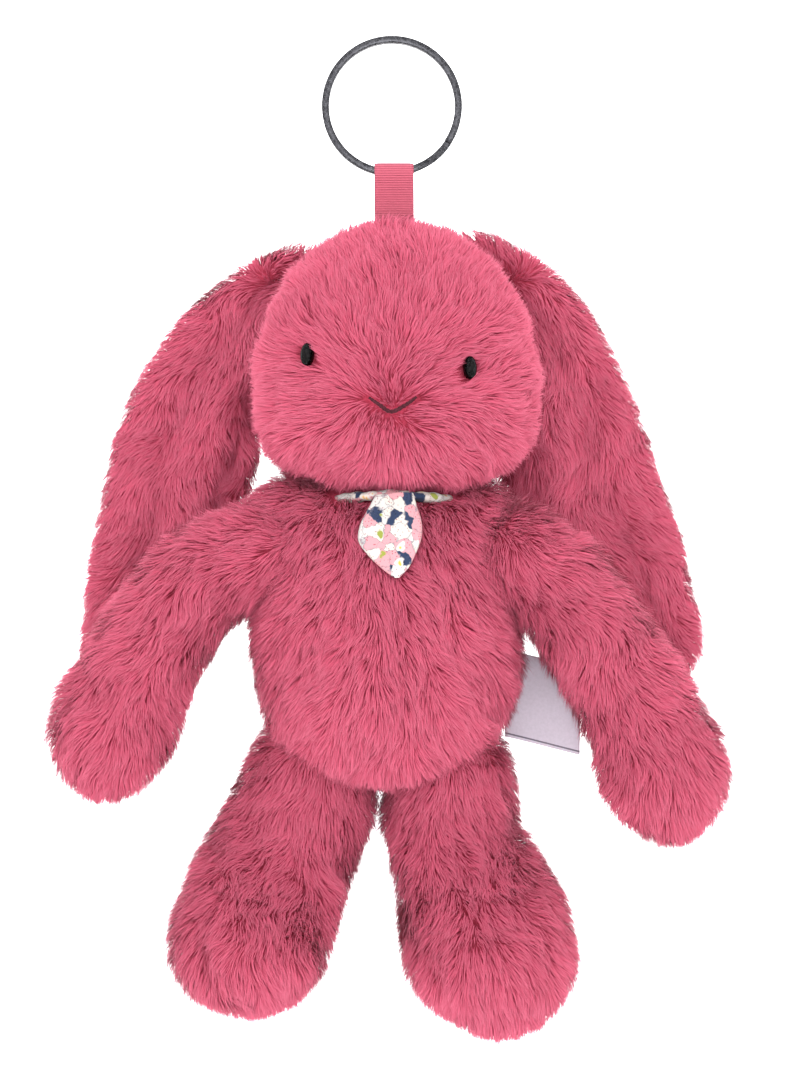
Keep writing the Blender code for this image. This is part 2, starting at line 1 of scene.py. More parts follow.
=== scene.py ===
"""The looks of the plush rabbit keychain: fur, ribbon, printed cotton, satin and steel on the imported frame.

Metres, +Z up, the face looks towards -Y. Each soft part is a stuffed skin with a pile of fine strands on it.
"""

import json
import math

import bpy
import numpy as np
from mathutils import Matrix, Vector

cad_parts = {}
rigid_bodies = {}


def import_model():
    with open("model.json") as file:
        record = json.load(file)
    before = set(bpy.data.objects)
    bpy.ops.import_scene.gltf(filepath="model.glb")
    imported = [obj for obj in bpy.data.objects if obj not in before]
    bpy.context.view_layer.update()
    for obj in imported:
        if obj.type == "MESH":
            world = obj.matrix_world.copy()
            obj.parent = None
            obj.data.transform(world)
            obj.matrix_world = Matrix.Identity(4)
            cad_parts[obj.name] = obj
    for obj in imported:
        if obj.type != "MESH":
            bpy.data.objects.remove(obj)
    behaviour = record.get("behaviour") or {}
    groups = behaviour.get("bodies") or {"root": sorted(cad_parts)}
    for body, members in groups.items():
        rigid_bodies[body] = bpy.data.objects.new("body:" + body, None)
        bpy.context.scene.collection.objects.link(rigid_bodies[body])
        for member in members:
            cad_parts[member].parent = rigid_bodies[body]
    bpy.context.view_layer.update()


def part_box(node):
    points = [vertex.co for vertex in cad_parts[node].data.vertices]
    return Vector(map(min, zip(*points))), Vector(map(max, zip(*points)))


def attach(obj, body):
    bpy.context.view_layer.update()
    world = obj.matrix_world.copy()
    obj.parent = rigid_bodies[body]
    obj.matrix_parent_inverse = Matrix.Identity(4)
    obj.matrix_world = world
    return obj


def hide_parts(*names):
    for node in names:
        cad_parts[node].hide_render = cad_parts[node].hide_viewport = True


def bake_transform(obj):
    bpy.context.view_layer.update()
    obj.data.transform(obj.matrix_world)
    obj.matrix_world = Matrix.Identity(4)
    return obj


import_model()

MM = 0.001
UP = np.array([0.0, 0.0, 1.0])

# Camera: a long lens, square to the front.
LENS_MM = 100
SENSOR_MM = 36
SEEN_HEIGHT = 0.2479
LOOK_AT = Vector((0.0014, 0, -0.0994))

# Pile.
STRANDS_PER_M2 = 6.9e6
STRANDS_PER_PIECE = 60000
STRAND_WIDTH = 0.21 * MM
TUFT_SIZE = 1.35 * MM

# How far each skin lies inside the pile's outer face, and the pile's length there.
BODY_PILE = 5.3 * MM
LIMB_PILE = 5.4 * MM
EAR_PILE = 4.4 * MM
HEAD_SKIN_DEPTH = 3.3 * MM
TORSO_SKIN_DEPTH = 2.9 * MM
LIMB_SKIN_DEPTH = 3.1 * MM
TAIL_SKIN_DEPTH = 4 * MM

# Shapes that the frame's boxes do not give. The lists are in millimetres.
HEAD_WIDEST_Z = -64.2 * MM
HEAD_BOTTOM_Z = -89.3 * MM
TORSO_WIDEST_Z = -124.5 * MM
TORSO_TOP_Z = -84.5 * MM
TORSO_BOTTOM_Z = -157.2 * MM
ARM_Y = -4.5
ARM_HALF_DEPTH = 12.0
ARM_PATHS = {
    "left": [(28.4, -103, 12.5), (38, -110.5, 12.8), (47.5, -123.5, 13.2), (57.3, -140.5, 14),
             (63.3, -155.8, 15), (65.8, -169.8, 0)],
    "right": [(-28, -102.5, 12.5), (-39.5, -107, 12.8), (-49, -115.5, 13.2), (-58, -130, 13.7),
              (-64.8, -145.8, 14.8), (-67.2, -159.8, 0)],
}
LEG_PATHS = {
    "left": [(13.6, 3, -152.8, 15.2, 13), (13.3, 2.6, -162, 16, 13), (14.4, 1.2, -169, 15.8, 13.6),
             (17.4, -1.2, -177, 17.6, 15), (20.3, -4.2, -185, 19.4, 17.5), (22.2, -6, -193, 20, 18.6),
             (23.8, -6.5, -200.5, 18.6, 17), (24.4, -6.5, -207.5, 13.6, 11), (24.2, -6.5, -213.8, 0, 0)],
    "right": [(-17.8, 3, -152.8, 16, 13), (-20.4, 2.6, -161.5, 17, 13), (-23.9, 1.2, -169, 17.2, 13.6),
              (-27.4, -1.2, -177, 18.2, 15), (-30.6, -4.2, -185, 18.4, 17.5), (-32.6, -6, -192, 18.6, 18.2),
              (-32.4, -6.5, -198.5, 17.4, 16), (-31.5, -6.5, -204.2, 12.7, 10.5), (-31.2, -6.5, -208.8, 0, 0)],
}
# Soft creases in the feet: middle, size and depth.
FOOT_CREASES = {
    "left": [((24, -22, -187), (8, 20, 2.5), 0.8)],
    "right": [((-41, -22, -190), (2.6, 20, 9), 1.2)],
}
# Ears: (z, outer edge x, inner edge x) from the root to the tip.
EAR_EDGES = {
    "left": [(-29.7, 24, 12), (-35.9, 34.6, 12), (-44, 43.6, 16), (-54, 50.3, 21), (-66, 55.8, 25),
             (-78, 60.0, 25), (-88, 63.3, 26.5), (-98, 66.5, 33), (-108, 69.0, 43), (-118, 71.4, 50),
             (-126, 71.8, 57.5), (-132, 69, 64)],
    "right": [(-32.8, -26, -17), (-37, -34.4, -14), (-44, -44.2, -17), (-54, -53.1, -23), (-66, -60.5, -28.5),
              (-78, -64.8, -31.5), (-88, -66.9, -34), (-98, -68.7, -38), (-108, -70.6, -45),
              (-118, -71.7, -53), (-126, -72.2, -60), (-131.5, -69, -66)],
}
# Folds along the ears, in the same form.
EAR_CREASES = {
    "left": [((47, 10, -62), (2.4, 5, 10), 1.6), ((43, 10, -84), (2.4, 5, 12), 1.2)],
    "right": [((-33, 10, -70), (2.2, 5, 6), 2.4), ((-36.5, 10, -79), (2.2, 5, 6), 2.4),
              ((-40, 10, -88), (2.2, 5, 6), 2.4)],
}
# The torso's shoulders and its left flank, which bulge, and its right flank, which is drawn in.
TORSO_CREASES = [((-27, -2, -94), (10, 12, 9), -4.5), ((25, -2, -94), (10, 12, 9), -4.5),
                 ((31, 0, -130), (12, 20, 17), -2.0), ((-31, 0, -133), (10, 20, 10), 0.9)]
EAR_MIDDLE_Y = 14.5
EAR_HALF_THICK = 4.5


def unit(vectors):
    return vectors / np.maximum(np.linalg.norm(vectors, axis=-1, keepdims=True), 1e-12)


def smooth(low, high, values):
    share = np.clip((values - low) / (high - low), 0, 1)
    return share * share * (3 - 2 * share)


def waves(points, size, seed):
    """A smooth wandering value from about -1 to 1, with features of about the given size."""
    rng = np.random.default_rng(seed)
    total = np.zeros(len(points))
    for _ in range(7):
        way = unit(rng.normal(size=3)) * math.tau / (size * rng.uniform(1.2, 3.2))
        total += np.sin(points @ way + rng.uniform(0, math.tau))
    return total / 2.6


# Materials

def new_material(name):
    made = bpy.data.materials.new(name)
    made.use_nodes = True
    nodes, links = made.node_tree.nodes, made.node_tree.links
    return made, nodes, links, nodes["Principled BSDF"]


def set_values(shader, **values):
    for name, value in values.items():
        shader.inputs[name.replace("_", " ")].default_value = value


def ramp_node(nodes, stops, interpolation="LINEAR"):
    ramp = nodes.new("ShaderNodeValToRGB")
    ramp.color_ramp.interpolation = interpolation
    while len(ramp.color_ramp.elements) < len(stops):
        ramp.color_ramp.elements.new(0.5)
    for element, (place, colour) in zip(ramp.color_ramp.elements, stops):
        element.position = place
        element.color = (*colour, 1)
    return ramp


def mix_node(nodes, links, factor, a, b, blend="MIX"):
    mixed = nodes.new("ShaderNodeMix")
    mixed.data_type = "RGBA"
    mixed.blend_type = blend
    for name, value in (("Factor", factor), ("A", a), ("B", b)):
        if hasattr(value, "is_output"):
            links.new(value, mixed.inputs[name])
        else:
            mixed.inputs[name].default_value = value if name == "Factor" else (*value, 1)
    return mixed.outputs["Result"]


def grain_node(nodes, links, scale, detail=2):
    """Noise in the object's own coordinates."""
    place = nodes.new("ShaderNodeTexCoord")
    grain = nodes.new("ShaderNodeTexNoise")
    grain.inputs["Scale"].default_value = scale
    grain.inputs["Detail"].default_value = detail
    links.new(place.outputs["Object"], grain.inputs["Vector"])
    return grain


def relief_node(nodes, links, shader, height, strength, distance):
    """A bump on the shader's normal from a height."""
    relief = nodes.new("ShaderNodeBump")
    relief.inputs["Strength"].default_value = strength
    relief.inputs["Distance"].default_value = distance
    links.new(height, relief.inputs["Height"])
    links.new(relief.outputs["Normal"], shader.inputs["Normal"])


def fur_material():
    """Colour from each strand's own tint (U) and from root to tip (V): darker at the root as painted shade,
    lighter at the tip as a painted highlight.
    """
    made, nodes, links, shader = new_material("fur_pile")
    where = nodes.new("ShaderNodeUVMap")
    where.uv_map = "OFBake"
    split = nodes.new("ShaderNodeSeparateXYZ")
    links.new(where.outputs["UV"], split.inputs["Vector"])
    # Painted shade and highlight: each strand is dark at the root, where the pile shades it, and lighter at the
    # tip.
    along = ramp_node(nodes, [(0.0, (0.32, 0.027, 0.052)), (0.4, (0.41, 0.049, 0.092)),
                              (0.75, (0.46, 0.076, 0.130)), (1.0, (0.53, 0.128, 0.190))])
    links.new(split.outputs["Y"], along.inputs["Fac"])
    tint = ramp_node(nodes, [(0.0, (0.80, 0.74, 0.77)), (0.5, (0.94, 0.92, 0.93)), (1.0, (1.0, 1.0, 1.0))])
    links.new(split.outputs["X"], tint.inputs["Fac"])
    colour = mix_node(nodes, links, 1.0, along.outputs["Color"], tint.outputs["Color"], "MULTIPLY")
    links.new(colour, shader.inputs["Base Color"])
    set_values(shader, Roughness=0.7, Specular_IOR_Level=0.15, Sheen_Weight=0.1, Sheen_Roughness=0.5,
               Sheen_Tint=(1, 0.6, 0.7, 1))
    return made


def cloth_material(name, dark, light, size, roughness=0.85, bump=0.25):
    """Woven or knitted cloth: two tones in a fine noise, with a bump of the same grain."""
    made, nodes, links, shader = new_material(name)
    grain = grain_node(nodes, links, 1 / size, 4)
    tones = ramp_node(nodes, [(0.3, dark), (0.7, light)])
    links.new(grain.outputs["Fac"], tones.inputs["Fac"])
    links.new(tones.outputs["Color"], shader.inputs["Base Color"])
    relief_node(nodes, links, shader, grain.outputs["Fac"], bump, size)
    set_values(shader, Roughness=roughness, Specular_IOR_Level=0.2)
    return made


def weave_bump(nodes, links, shader, pitch, strength):
    """A plain weave's relief from two crossed wave patterns in the object's own coordinates."""
    place = nodes.new("ShaderNodeTexCoord")
    heights = []
    for direction in ("X", "Z"):
        wave = nodes.new("ShaderNodeTexWave")
        wave.bands_direction = direction
        wave.inputs["Scale"].default_value = 0.314 / pitch
        wave.inputs["Distortion"].default_value = 0.6
        links.new(place.outputs["Object"], wave.inputs["Vector"])
        heights.append(wave.outputs["Fac"])
    added = nodes.new("ShaderNodeMath")
    links.new(heights[0], added.inputs[0])
    links.new(heights[1], added.inputs[1])
    relief_node(nodes, links, shader, added.outputs[0], strength, 0.1 * MM)


def voronoi(nodes, links, vector, size, feature="F1"):
    cells = nodes.new("ShaderNodeTexVoronoi")
    cells.feature = feature
    cells.inputs["Scale"].default_value = 1 / size
    links.new(vector, cells.inputs["Vector"])
    return cells


def below(nodes, links, value, limit, soft):
    """1 where value is under the limit, 0 above it, with a soft edge."""
    made = nodes.new("ShaderNodeMapRange")
    made.inputs["From Min"].default_value = limit - soft
    made.inputs["From Max"].default_value = limit + soft
    made.inputs["To Min"].default_value = 1
    made.inputs["To Max"].default_value = 0
    links.new(value, made.inputs["Value"])
    return made.outputs["Result"]


def printed_cotton():
    """Small generic flowers and leaves on a cream and navy ground."""
    made, nodes, links, shader = new_material("printed_cotton")
    place = nodes.new("ShaderNodeTexCoord")
    drift = grain_node(nodes, links, 1 / (2.2 * MM))
    scaled = nodes.new("ShaderNodeVectorMath")
    scaled.operation = "MULTIPLY_ADD"
    scaled.inputs[1].default_value = (2.6 * MM,) * 3
    links.new(drift.outputs["Color"], scaled.inputs[0])
    links.new(place.outputs["Object"], scaled.inputs[2])
    wandering = scaled.outputs["Vector"]
    patches = voronoi(nodes, links, wandering, 3.0 * MM)
    split = nodes.new("ShaderNodeSeparateColor")
    links.new(patches.outputs["Color"], split.inputs["Color"])
    ground = ramp_node(nodes, [(0.0, (0.44, 0.41, 0.37)), (0.28, (0.012, 0.022, 0.055)),
                               (0.55, (0.46, 0.21, 0.23)), (0.82, (0.42, 0.40, 0.38))], "CONSTANT")
    links.new(split.outputs["Red"], ground.inputs["Fac"])
    dots = voronoi(nodes, links, place.outputs["Object"], 0.62 * MM)
    dotted = below(nodes, links, dots.outputs["Distance"], 0.24, 0.06)
    colour = mix_node(nodes, links, dotted, ground.outputs["Color"], (0.42, 0.12, 0.18), "MULTIPLY")
    colour = mix_node(nodes, links, 0.8, ground.outputs["Color"], colour)
    edge = voronoi(nodes, links, wandering, 3.0 * MM, "DISTANCE_TO_EDGE")
    outline = below(nodes, links, edge.outputs["Distance"], 0.02, 0.03)
    colour = mix_node(nodes, links, outline, colour, (0.14, 0.13, 0.15))
    blooms = voronoi(nodes, links, wandering, 4.4 * MM)
    petals = below(nodes, links, blooms.outputs["Distance"], 0.24, 0.03)
    colour = mix_node(nodes, links, petals, colour, (0.48, 0.44, 0.41))
    centre = below(nodes, links, blooms.outputs["Distance"], 0.11, 0.03)
    colour = mix_node(nodes, links, centre, colour, (0.55, 0.29, 0.04))
    leaves = voronoi(nodes, links, wandering, 5.3 * MM)
    leafy = below(nodes, links, leaves.outputs["Distance"], 0.17, 0.02)
    colour = mix_node(nodes, links, leafy, colour, (0.19, 0.21, 0.035))
    links.new(colour, shader.inputs["Base Color"])
    set_values(shader, Roughness=0.8, Specular_IOR_Level=0.2, Sheen_Weight=0.1)
    weave_bump(nodes, links, shader, 0.3 * MM, 0.35)
    return made


def grosgrain():
    """Ribbon cloth: a rib every half millimetre, with painted shade in the grooves between them."""
    made, nodes, links, shader = new_material("grosgrain")
    place = nodes.new("ShaderNodeTexCoord")
    ribs = nodes.new("ShaderNodeTexWave")
    ribs.bands_direction = "Z"
    ribs.inputs["Scale"].default_value = 0.314 / RIB_PITCH
    ribs.inputs["Distortion"].default_value = 0.25
    links.new(place.outputs["Object"], ribs.inputs["Vector"])
    # Painted shade: the colour darkens in the grooves between the ribs.
    tones = ramp_node(nodes, [(0.0, (0.22, 0.025, 0.05)), (0.45, (0.33, 0.048, 0.082)),
                              (1.0, (0.38, 0.066, 0.102))])
    links.new(ribs.outputs["Fac"], tones.inputs["Fac"])
    yarn = grain_node(nodes, links, 4000)
    fleck = ramp_node(nodes, [(0.3, (0.85, 0.85, 0.85)), (0.7, (1, 1, 1))])
    links.new(yarn.outputs["Fac"], fleck.inputs["Fac"])
    colour = mix_node(nodes, links, 1.0, tones.outputs["Color"], fleck.outputs["Color"], "MULTIPLY")
    links.new(colour, shader.inputs["Base Color"])
    relief_node(nodes, links, shader, yarn.outputs["Fac"], 0.3, 0.05 * MM)
    set_values(shader, Roughness=0.6, Specular_IOR_Level=0.3, Sheen_Weight=0.1)
    return made


def steel_material():
    made, nodes, links, shader = new_material("dark_steel")
    grain = grain_node(nodes, links, 900, 5)
    tones = ramp_node(nodes, [(0.35, (0.018, 0.018, 0.02)), (0.7, (0.05, 0.05, 0.055))])
    links.new(grain.outputs["Fac"], tones.inputs["Fac"])
    links.new(tones.outputs["Color"], shader.inputs["Base Color"])
    wear = ramp_node(nodes, [(0.3, (0.2, 0.2, 0.2)), (0.75, (0.36, 0.36, 0.36))])
    links.new(grain.outputs["Fac"], wear.inputs["Fac"])
    links.new(wear.outputs["Color"], shader.inputs["Roughness"])
    relief_node(nodes, links, shader, grain.outputs["Fac"], 0.08, 0.05 * MM)
    set_values(shader, Metallic=1.0)
    return made


def eye_material():
    made, nodes, links, shader = new_material("eye_gloss")
    grain = grain_node(nodes, links, 700)
    tones = ramp_node(nodes, [(0.3, (0.0012, 0.0010, 0.0011)), (0.7, (0.003, 0.0024, 0.0026))])
    links.new(grain.outputs["Fac"], tones.inputs["Fac"])
    links.new(tones.outputs["Color"], shader.inputs["Base Color"])
    wear = ramp_node(nodes, [(0.3, (0.12, 0.12, 0.12)), (0.8, (0.16, 0.16, 0.16))])
    links.new(grain.outputs["Fac"], wear.inputs["Fac"])
    links.new(wear.outputs["Color"], shader.inputs["Roughness"])
    set_values(shader, IOR=1.15)
    return made


def banded_material(name, band, plain, limits, roughness, sheen=0.0, weave=None):
    """Plain cloth with a band of another colour between two shares of the UV's V."""
    made, nodes, links, shader = new_material(name)
    where = nodes.new("ShaderNodeUVMap")
    split = nodes.new("ShaderNodeSeparateXYZ")
    links.new(where.outputs["UV"], split.inputs["Vector"])
    grain = grain_node(nodes, links, 1600)
    tones = ramp_node(nodes, [(0.3, tuple(0.9 * c for c in plain)), (0.7, plain)])
    links.new(grain.outputs["Fac"], tones.inputs["Fac"])
    low, high = limits
    steps = ramp_node(nodes, [(0.0, (0, 0, 0)), (low, (1, 1, 1)), (high, (0, 0, 0))], "CONSTANT")
    links.new(split.outputs["Y"], steps.inputs["Fac"])
    colour = mix_node(nodes, links, steps.outputs["Color"], tones.outputs["Color"], band)
    links.new(colour, shader.inputs["Base Color"])
    set_values(shader, Roughness=roughness, Sheen_Weight=sheen, Specular_IOR_Level=0.4)
    if weave:
        weave_bump(nodes, links, shader, weave, 0.25)
    return made


# Meshes

def new_object(name, points, faces, material, smooth_faces=True):
    mesh = bpy.data.meshes.new(name)
    mesh.from_pydata([tuple(p) for p in points], [], [tuple(int(i) for i in f) for f in faces])
    mesh.polygons.foreach_set("use_smooth", [smooth_faces] * len(mesh.polygons))
    mesh.materials.append(material)
    made = bpy.data.objects.new(name, mesh)
    bpy.context.scene.collection.objects.link(made)
    return made


def grid_object(name, grid, material, closed_rows=False):
    """A tube of quads through the rows of a grid, with a fan on each end or joined into a ring."""
    rows, columns = grid.shape[:2]
    points = grid.reshape(-1, 3)
    faces = []
    for r in range(rows if closed_rows else rows - 1):
        below_r = (r + 1) % rows
        for c in range(columns):
            d = (c + 1) % columns
            faces.append((r * columns + c, r * columns + d, below_r * columns + d, below_r * columns + c))
    if not closed_rows:
        first, last = len(points), len(points) + 1
        points = np.concatenate([points, grid[:1].mean(axis=1), grid[-1:].mean(axis=1)])
        for c in range(columns):
            d = (c + 1) % columns
            faces.append((first, d, c))
            faces.append((last, (rows - 1) * columns + c, (rows - 1) * columns + d))
    made = new_object(name, points, faces, material)
    face_out(made)
    return made


def face_out(made):
    """Turns a closed mesh's faces outward if its volume comes out negative."""
    mesh = made.data
    mesh.calc_loop_triangles()
    volume = 0.0
    for triangle in mesh.loop_triangles:
        a, b, c = (mesh.vertices[i].co for i in triangle.vertices)
        volume += a.dot(b.cross(c))
    if volume < 0:
        mesh.flip_normals()


def grid_normals(grid):
    across = np.roll(grid, -1, axis=1) - np.roll(grid, 1, axis=1)
    along = np.gradient(grid, axis=0)
    normals = unit(np.cross(across, along))
    outward = grid - grid.mean(axis=1, keepdims=True)
    return normals if (normals * outward).sum() > 0 else -normals


def scatter(grid, normals, rng):
    """Random points, evenly spread over a grid's surface, with the normal at each."""
    right = np.roll(grid, -1, axis=1)
    area = np.linalg.norm(np.cross(right[:-1] - grid[:-1], grid[1:] - grid[:-1]), axis=2).ravel()
    count = int(area.sum() * STRANDS_PER_M2)
    cell = rng.choice(len(area), count, p=area / area.sum())
    row, column = np.divmod(cell, grid.shape[1])
    following = (column + 1) % grid.shape[1]
    u, v = rng.random((2, count, 1))

    def blended(values):
        low = values[row, column] * (1 - u) + values[row, following] * u
        high = values[row + 1, column] * (1 - u) + values[row + 1, following] * u
        return low * (1 - v) + high * v

    return blended(grid), unit(blended(normals))


def tuft_numbers(points, size, seed):
    """Which tuft each root belongs to: a wandering lattice, so that tufts have uneven outlines."""
    warp = np.stack([waves(points, size * 3, seed + k) for k in range(3)], axis=1) * size * 0.6
    cells = np.floor((points + warp) / size).astype(np.int64)
    _, index = np.unique(cells, axis=0, return_inverse=True)
    return index.reshape(-1)


def tuft_means(index, values):
    count = np.bincount(index)
    return np.stack([np.bincount(index, values[:, k]) / count for k in range(3)], axis=1)[index]


def grow_fur(name, body, grid, flow, material, length, lean, seed, keep=None, scale=None):
    """A pile of strands on a grid. flow gives the direction in which the pile is combed at each root."""
    rng = np.random.default_rng(seed)
    roots, normals = scatter(grid, grid_normals(grid), rng)
    if keep is not None:
        chosen = keep(roots)
        roots, normals = roots[chosen], normals[chosen]
    count = len(roots)
    combed = flow(roots, normals)
    combed = combed - normals * (combed * normals).sum(axis=1, keepdims=True)
    lying = np.clip(np.linalg.norm(combed, axis=1) * 1.6, 0, 1)
    combed = unit(combed)
    turn = waves(roots, 8 * MM, seed + 11) * 0.35 + waves(roots, 2.6 * MM, seed + 12) * 0.3
    turn += rng.normal(0, 0.16, count)
    sideways = np.cross(normals, combed)
    combed = combed * np.cos(turn)[:, None] + sideways * np.sin(turn)[:, None]
    tilt = lean * lying + waves(roots, 3 * MM, seed + 13) * 0.14 + rng.normal(0, 0.12, count)
    way = normals * np.cos(tilt)[:, None] + combed * np.sin(tilt)[:, None]
    tall = length * (1 + 0.08 * waves(roots, 5 * MM, seed + 14) + rng.normal(0, 0.11, count))
    tall *= 0.62 + 0.38 * lying
    if scale is not None:
        tall = tall * scale(roots)
    tips = roots + way * tall[:, None]
    bends_at = roots + way * (tall * 0.5)[:, None] + normals * (tall * 0.12)[:, None]
    if keep is not None:
        chosen = keep(tips) & keep(bends_at)
        roots, normals, tips, way, tall = (values[chosen] for values in (roots, normals, tips, way, tall))
        count = len(roots)
    bends = roots + normals * (tall * 0.40)[:, None] + way * (tall * 0.20)[:, None]
    index = tuft_numbers(roots, TUFT_SIZE, seed)
    gathered = tuft_means(index, tips)
    pull = rng.uniform(0.1, 0.5, (count, 1))
    tips = tips + (gathered - tips) * pull + rng.normal(0, 0.2 * MM, (count, 3))
    tips[:, 2] -= 0.3 * MM
    off_centre = (roots - tuft_means(index, roots)) / TUFT_SIZE
    tuft_tint = rng.random(index.max() + 1)[index]
    patch = 0.5 + 0.3 * waves(roots, 6 * MM, seed + 15)
    tint = np.clip(0.3 * tuft_tint + 0.4 * rng.random(count) + 0.3 * patch, 0, 1)
    for k, start in enumerate(range(0, count, STRANDS_PER_PIECE)):
        part = slice(start, start + STRANDS_PER_PIECE)
        made = strand_object(f"{name}_pile_{k + 1}", roots[part], bends[part], tips[part],
                             normals[part] + 0.35 * off_centre[part], tint[part], rng, material)
        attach(made, body)


def strand_object(name, roots, bends, tips, outward, tint, rng, material):
    """Tapered strands as one mesh: a quad and a tip triangle each, bent at the middle."""
    count = len(roots)
    heading = unit(tips - roots)
    facing = unit(outward - heading * (outward * heading).sum(axis=1, keepdims=True))
    side = np.cross(heading, facing)
    twist = rng.normal(0, 0.3, (count, 1))
    side = unit(side * np.cos(twist) + facing * np.sin(twist))
    shading = unit(0.55 * facing + 0.45 * unit(outward))
    half = STRAND_WIDTH / 2 * rng.uniform(0.75, 1.25, (count, 1))
    middle = (roots + 2 * bends + tips) / 4
    points = np.empty((count, 5, 3))
    points[:, 0] = roots - side * half
    points[:, 1] = roots + side * half
    points[:, 2] = middle - side * half * 0.9
    points[:, 3] = middle + side * half * 0.9
    points[:, 4] = tips
    first = np.arange(count)[:, None] * 5
    quads = first + [0, 1, 3, 2]
    ends = first + [2, 3, 4]
    corners = np.concatenate([quads.ravel(), ends.ravel()]).astype(np.int32)
    starts = np.concatenate([np.arange(count) * 4, count * 4 + np.arange(count) * 3])
    mesh = bpy.data.meshes.new(name)
    mesh.vertices.add(count * 5)
    mesh.vertices.foreach_set("co", points.astype(np.float32).ravel())
    mesh.loops.add(len(corners))
    mesh.loops.foreach_set("vertex_index", corners)
    mesh.polygons.add(len(starts))
    mesh.polygons.foreach_set("loop_start", starts.astype(np.int32))
    mesh.update(calc_edges=True)
    mesh.polygons.foreach_set("use_smooth", np.ones(len(starts), bool))
    layer = mesh.uv_layers.new(name="OFBake")
    # V runs from root to tip; the fur material paints shade at the root and a highlight at the tip along it.
    heights = np.array([0, 0, 0.5, 0.5, 1.0])
    place = np.stack([np.repeat(tint, 5), np.tile(heights, count)], axis=1) * 0.98 + 0.01
    layer.data.foreach_set("uv", place[corners].astype(np.float32).ravel())
    mesh.normals_split_custom_set_from_vertices(np.repeat(shading, 5, axis=0).astype(np.float32))
    mesh.materials.append(material)
    made = bpy.data.objects.new(name, mesh)
    bpy.context.scene.collection.objects.link(made)
    return made


# Body shapes

def egg_half(z, shape, grow=0.0, deep=False):
    """The share of its full width, or of its full depth, that an egg has at height z."""
    top, bottom, widest = shape["top"] + grow, shape["bottom"] - grow, shape["widest"]
    power = shape.get("upper_deep", shape["upper"]) if deep else shape["upper"]
    above = np.clip((z - widest) / (top - widest), 0, 1)
    below_it = np.clip((widest - z) / (widest - bottom), 0, 1)
    upper = (1 - above ** power) ** (1 / power)
    lower = (1 - below_it ** shape["lower"]) ** (1 / shape["lower"])
    return np.where(z > widest, upper, lower)


def egg_grid(shape, rows=72, columns=96):
    turn = np.linspace(0, math.pi, rows + 2)[1:-1]
    z = (shape["top"] + shape["bottom"]) / 2 + (shape["top"] - shape["bottom"]) / 2 * np.cos(turn)
    share = egg_half(z, shape)
    depth = egg_half(z, shape, deep=True)
    around = np.linspace(0, math.tau, columns, endpoint=False)
    grid = np.empty((rows, columns, 3))
    grid[..., 0] = shape["x"] + share[:, None] * shape["half_x"] * np.cos(around)
    grid[..., 1] = depth[:, None] * shape["half_y"] * np.sin(around)
    grid[..., 2] = z[:, None]
    return grid


def inset(grid, depth):
    return grid - grid_normals(grid) * depth


def curve(values, at):
    """Catmull-Rom through evenly spaced rows of values, at many places at once."""
    values = np.asarray(values, float)
    padded = np.concatenate([2 * values[:1] - values[1:2], values, 2 * values[-1:] - values[-2:-1]])
    i = np.clip(at.astype(int), 0, len(values) - 2)
    t = (at - i)[:, None]
    a, b, c, d = (padded[i + k] for k in range(4))
    square, cube = 2 * a - 5 * b + 4 * c - d, 3 * (b - c) + d - a
    return 0.5 * (2 * b + (c - a) * t + square * t ** 2 + cube * t ** 3)


def evened(values, reach):
    """Rows of values averaged with their neighbours."""
    padded = np.concatenate([values[:1]] * reach + [values] + [values[-1:]] * reach)
    return sum(padded[k:k + len(values)] for k in range(2 * reach + 1)) / (2 * reach + 1)


def limb_grid(stations, columns=56, rows=56):
    """Round sections along stations of (x, y, z, half width, half depth), with a domed root. Metres out."""
    stations = np.array(stations, float)
    squares = stations.copy()
    squares[:, 3:] **= 2
    at = (len(stations) - 1) * np.sin(np.linspace(0, 1, rows) * math.pi / 2)
    at[-1] -= 0.004
    path = curve(squares, at)
    middle, half = path[:, :3], np.sqrt(np.maximum(path[:, 3:], 0.2))
    way = np.gradient(middle, axis=0)
    way[:, 1] = 0
    way = unit(evened(unit(way), 9))
    lean = np.radians(np.linspace(80, 12, 6))
    root_r = stations[0, 4]
    dome = middle[0] - way[0] * root_r * np.sin(lean)[:, None]
    middle = np.concatenate([dome, middle])
    half = np.concatenate([half[0] * np.cos(lean)[:, None], half])
    way = np.concatenate([np.repeat(way[:1], len(lean), axis=0), way])
    across = np.stack([way[:, 2], np.zeros(len(way)), -way[:, 0]], axis=1)
    around = np.linspace(0, math.tau, columns, endpoint=False)[None, :, None]
    grid = middle[:, None] + across[:, None] * half[:, None, :1] * np.cos(around)
    grid = grid + np.array([0.0, 1.0, 0.0]) * half[:, None, 1:] * np.sin(around)
    return grid * MM


def ear_grid(side, margin=1.1, rows=80, columns=64):
    """A soft flat ear from its edges, thinner by a margin all round, with a lengthwise fold. Metres out."""
    edges = EAR_EDGES[side]
    path = curve(edges, np.linspace(0, len(edges) - 1, rows))
    z, outer, inner = path.T
    middle, half = (outer + inner) / 2, np.abs(outer - inner) / 2 - margin
    ends = np.linspace(0, 1, rows)
    close = np.minimum(smooth(-0.05, 0.05, ends), 1 - smooth(0.93, 1.03, ends)) ** 0.5
    half = np.maximum(half * close, 0.3)
    thick = np.maximum((EAR_HALF_THICK - margin + 0.3) * close, 0.2)
    around = np.linspace(0, math.tau, columns, endpoint=False)
    cos, sin = np.cos(around), np.sin(around)
    flat = np.sign(cos) * np.abs(cos) ** 0.8
    deep = np.sign(sin) * np.abs(sin) ** 0.8
    outward = 1 if side == "left" else -1
    share = flat[None, :]
    wander = 0.12 * np.sin(z / 17)
    fold = np.exp(-((share * outward - 0.05 - wander[:, None]) / 0.22) ** 2)
    fold = fold - 0.6 * np.exp(-((share * outward + 0.55 - wander[:, None]) / 0.2) ** 2)
    grid = np.empty((rows, columns, 3))
    grid[..., 0] = middle[:, None] + half[:, None] * share
    grid[..., 1] = EAR_MIDDLE_Y + thick[:, None] * deep + 1.3 * fold * close[:, None]
    grid[..., 2] = z[:, None]
    return grid * MM


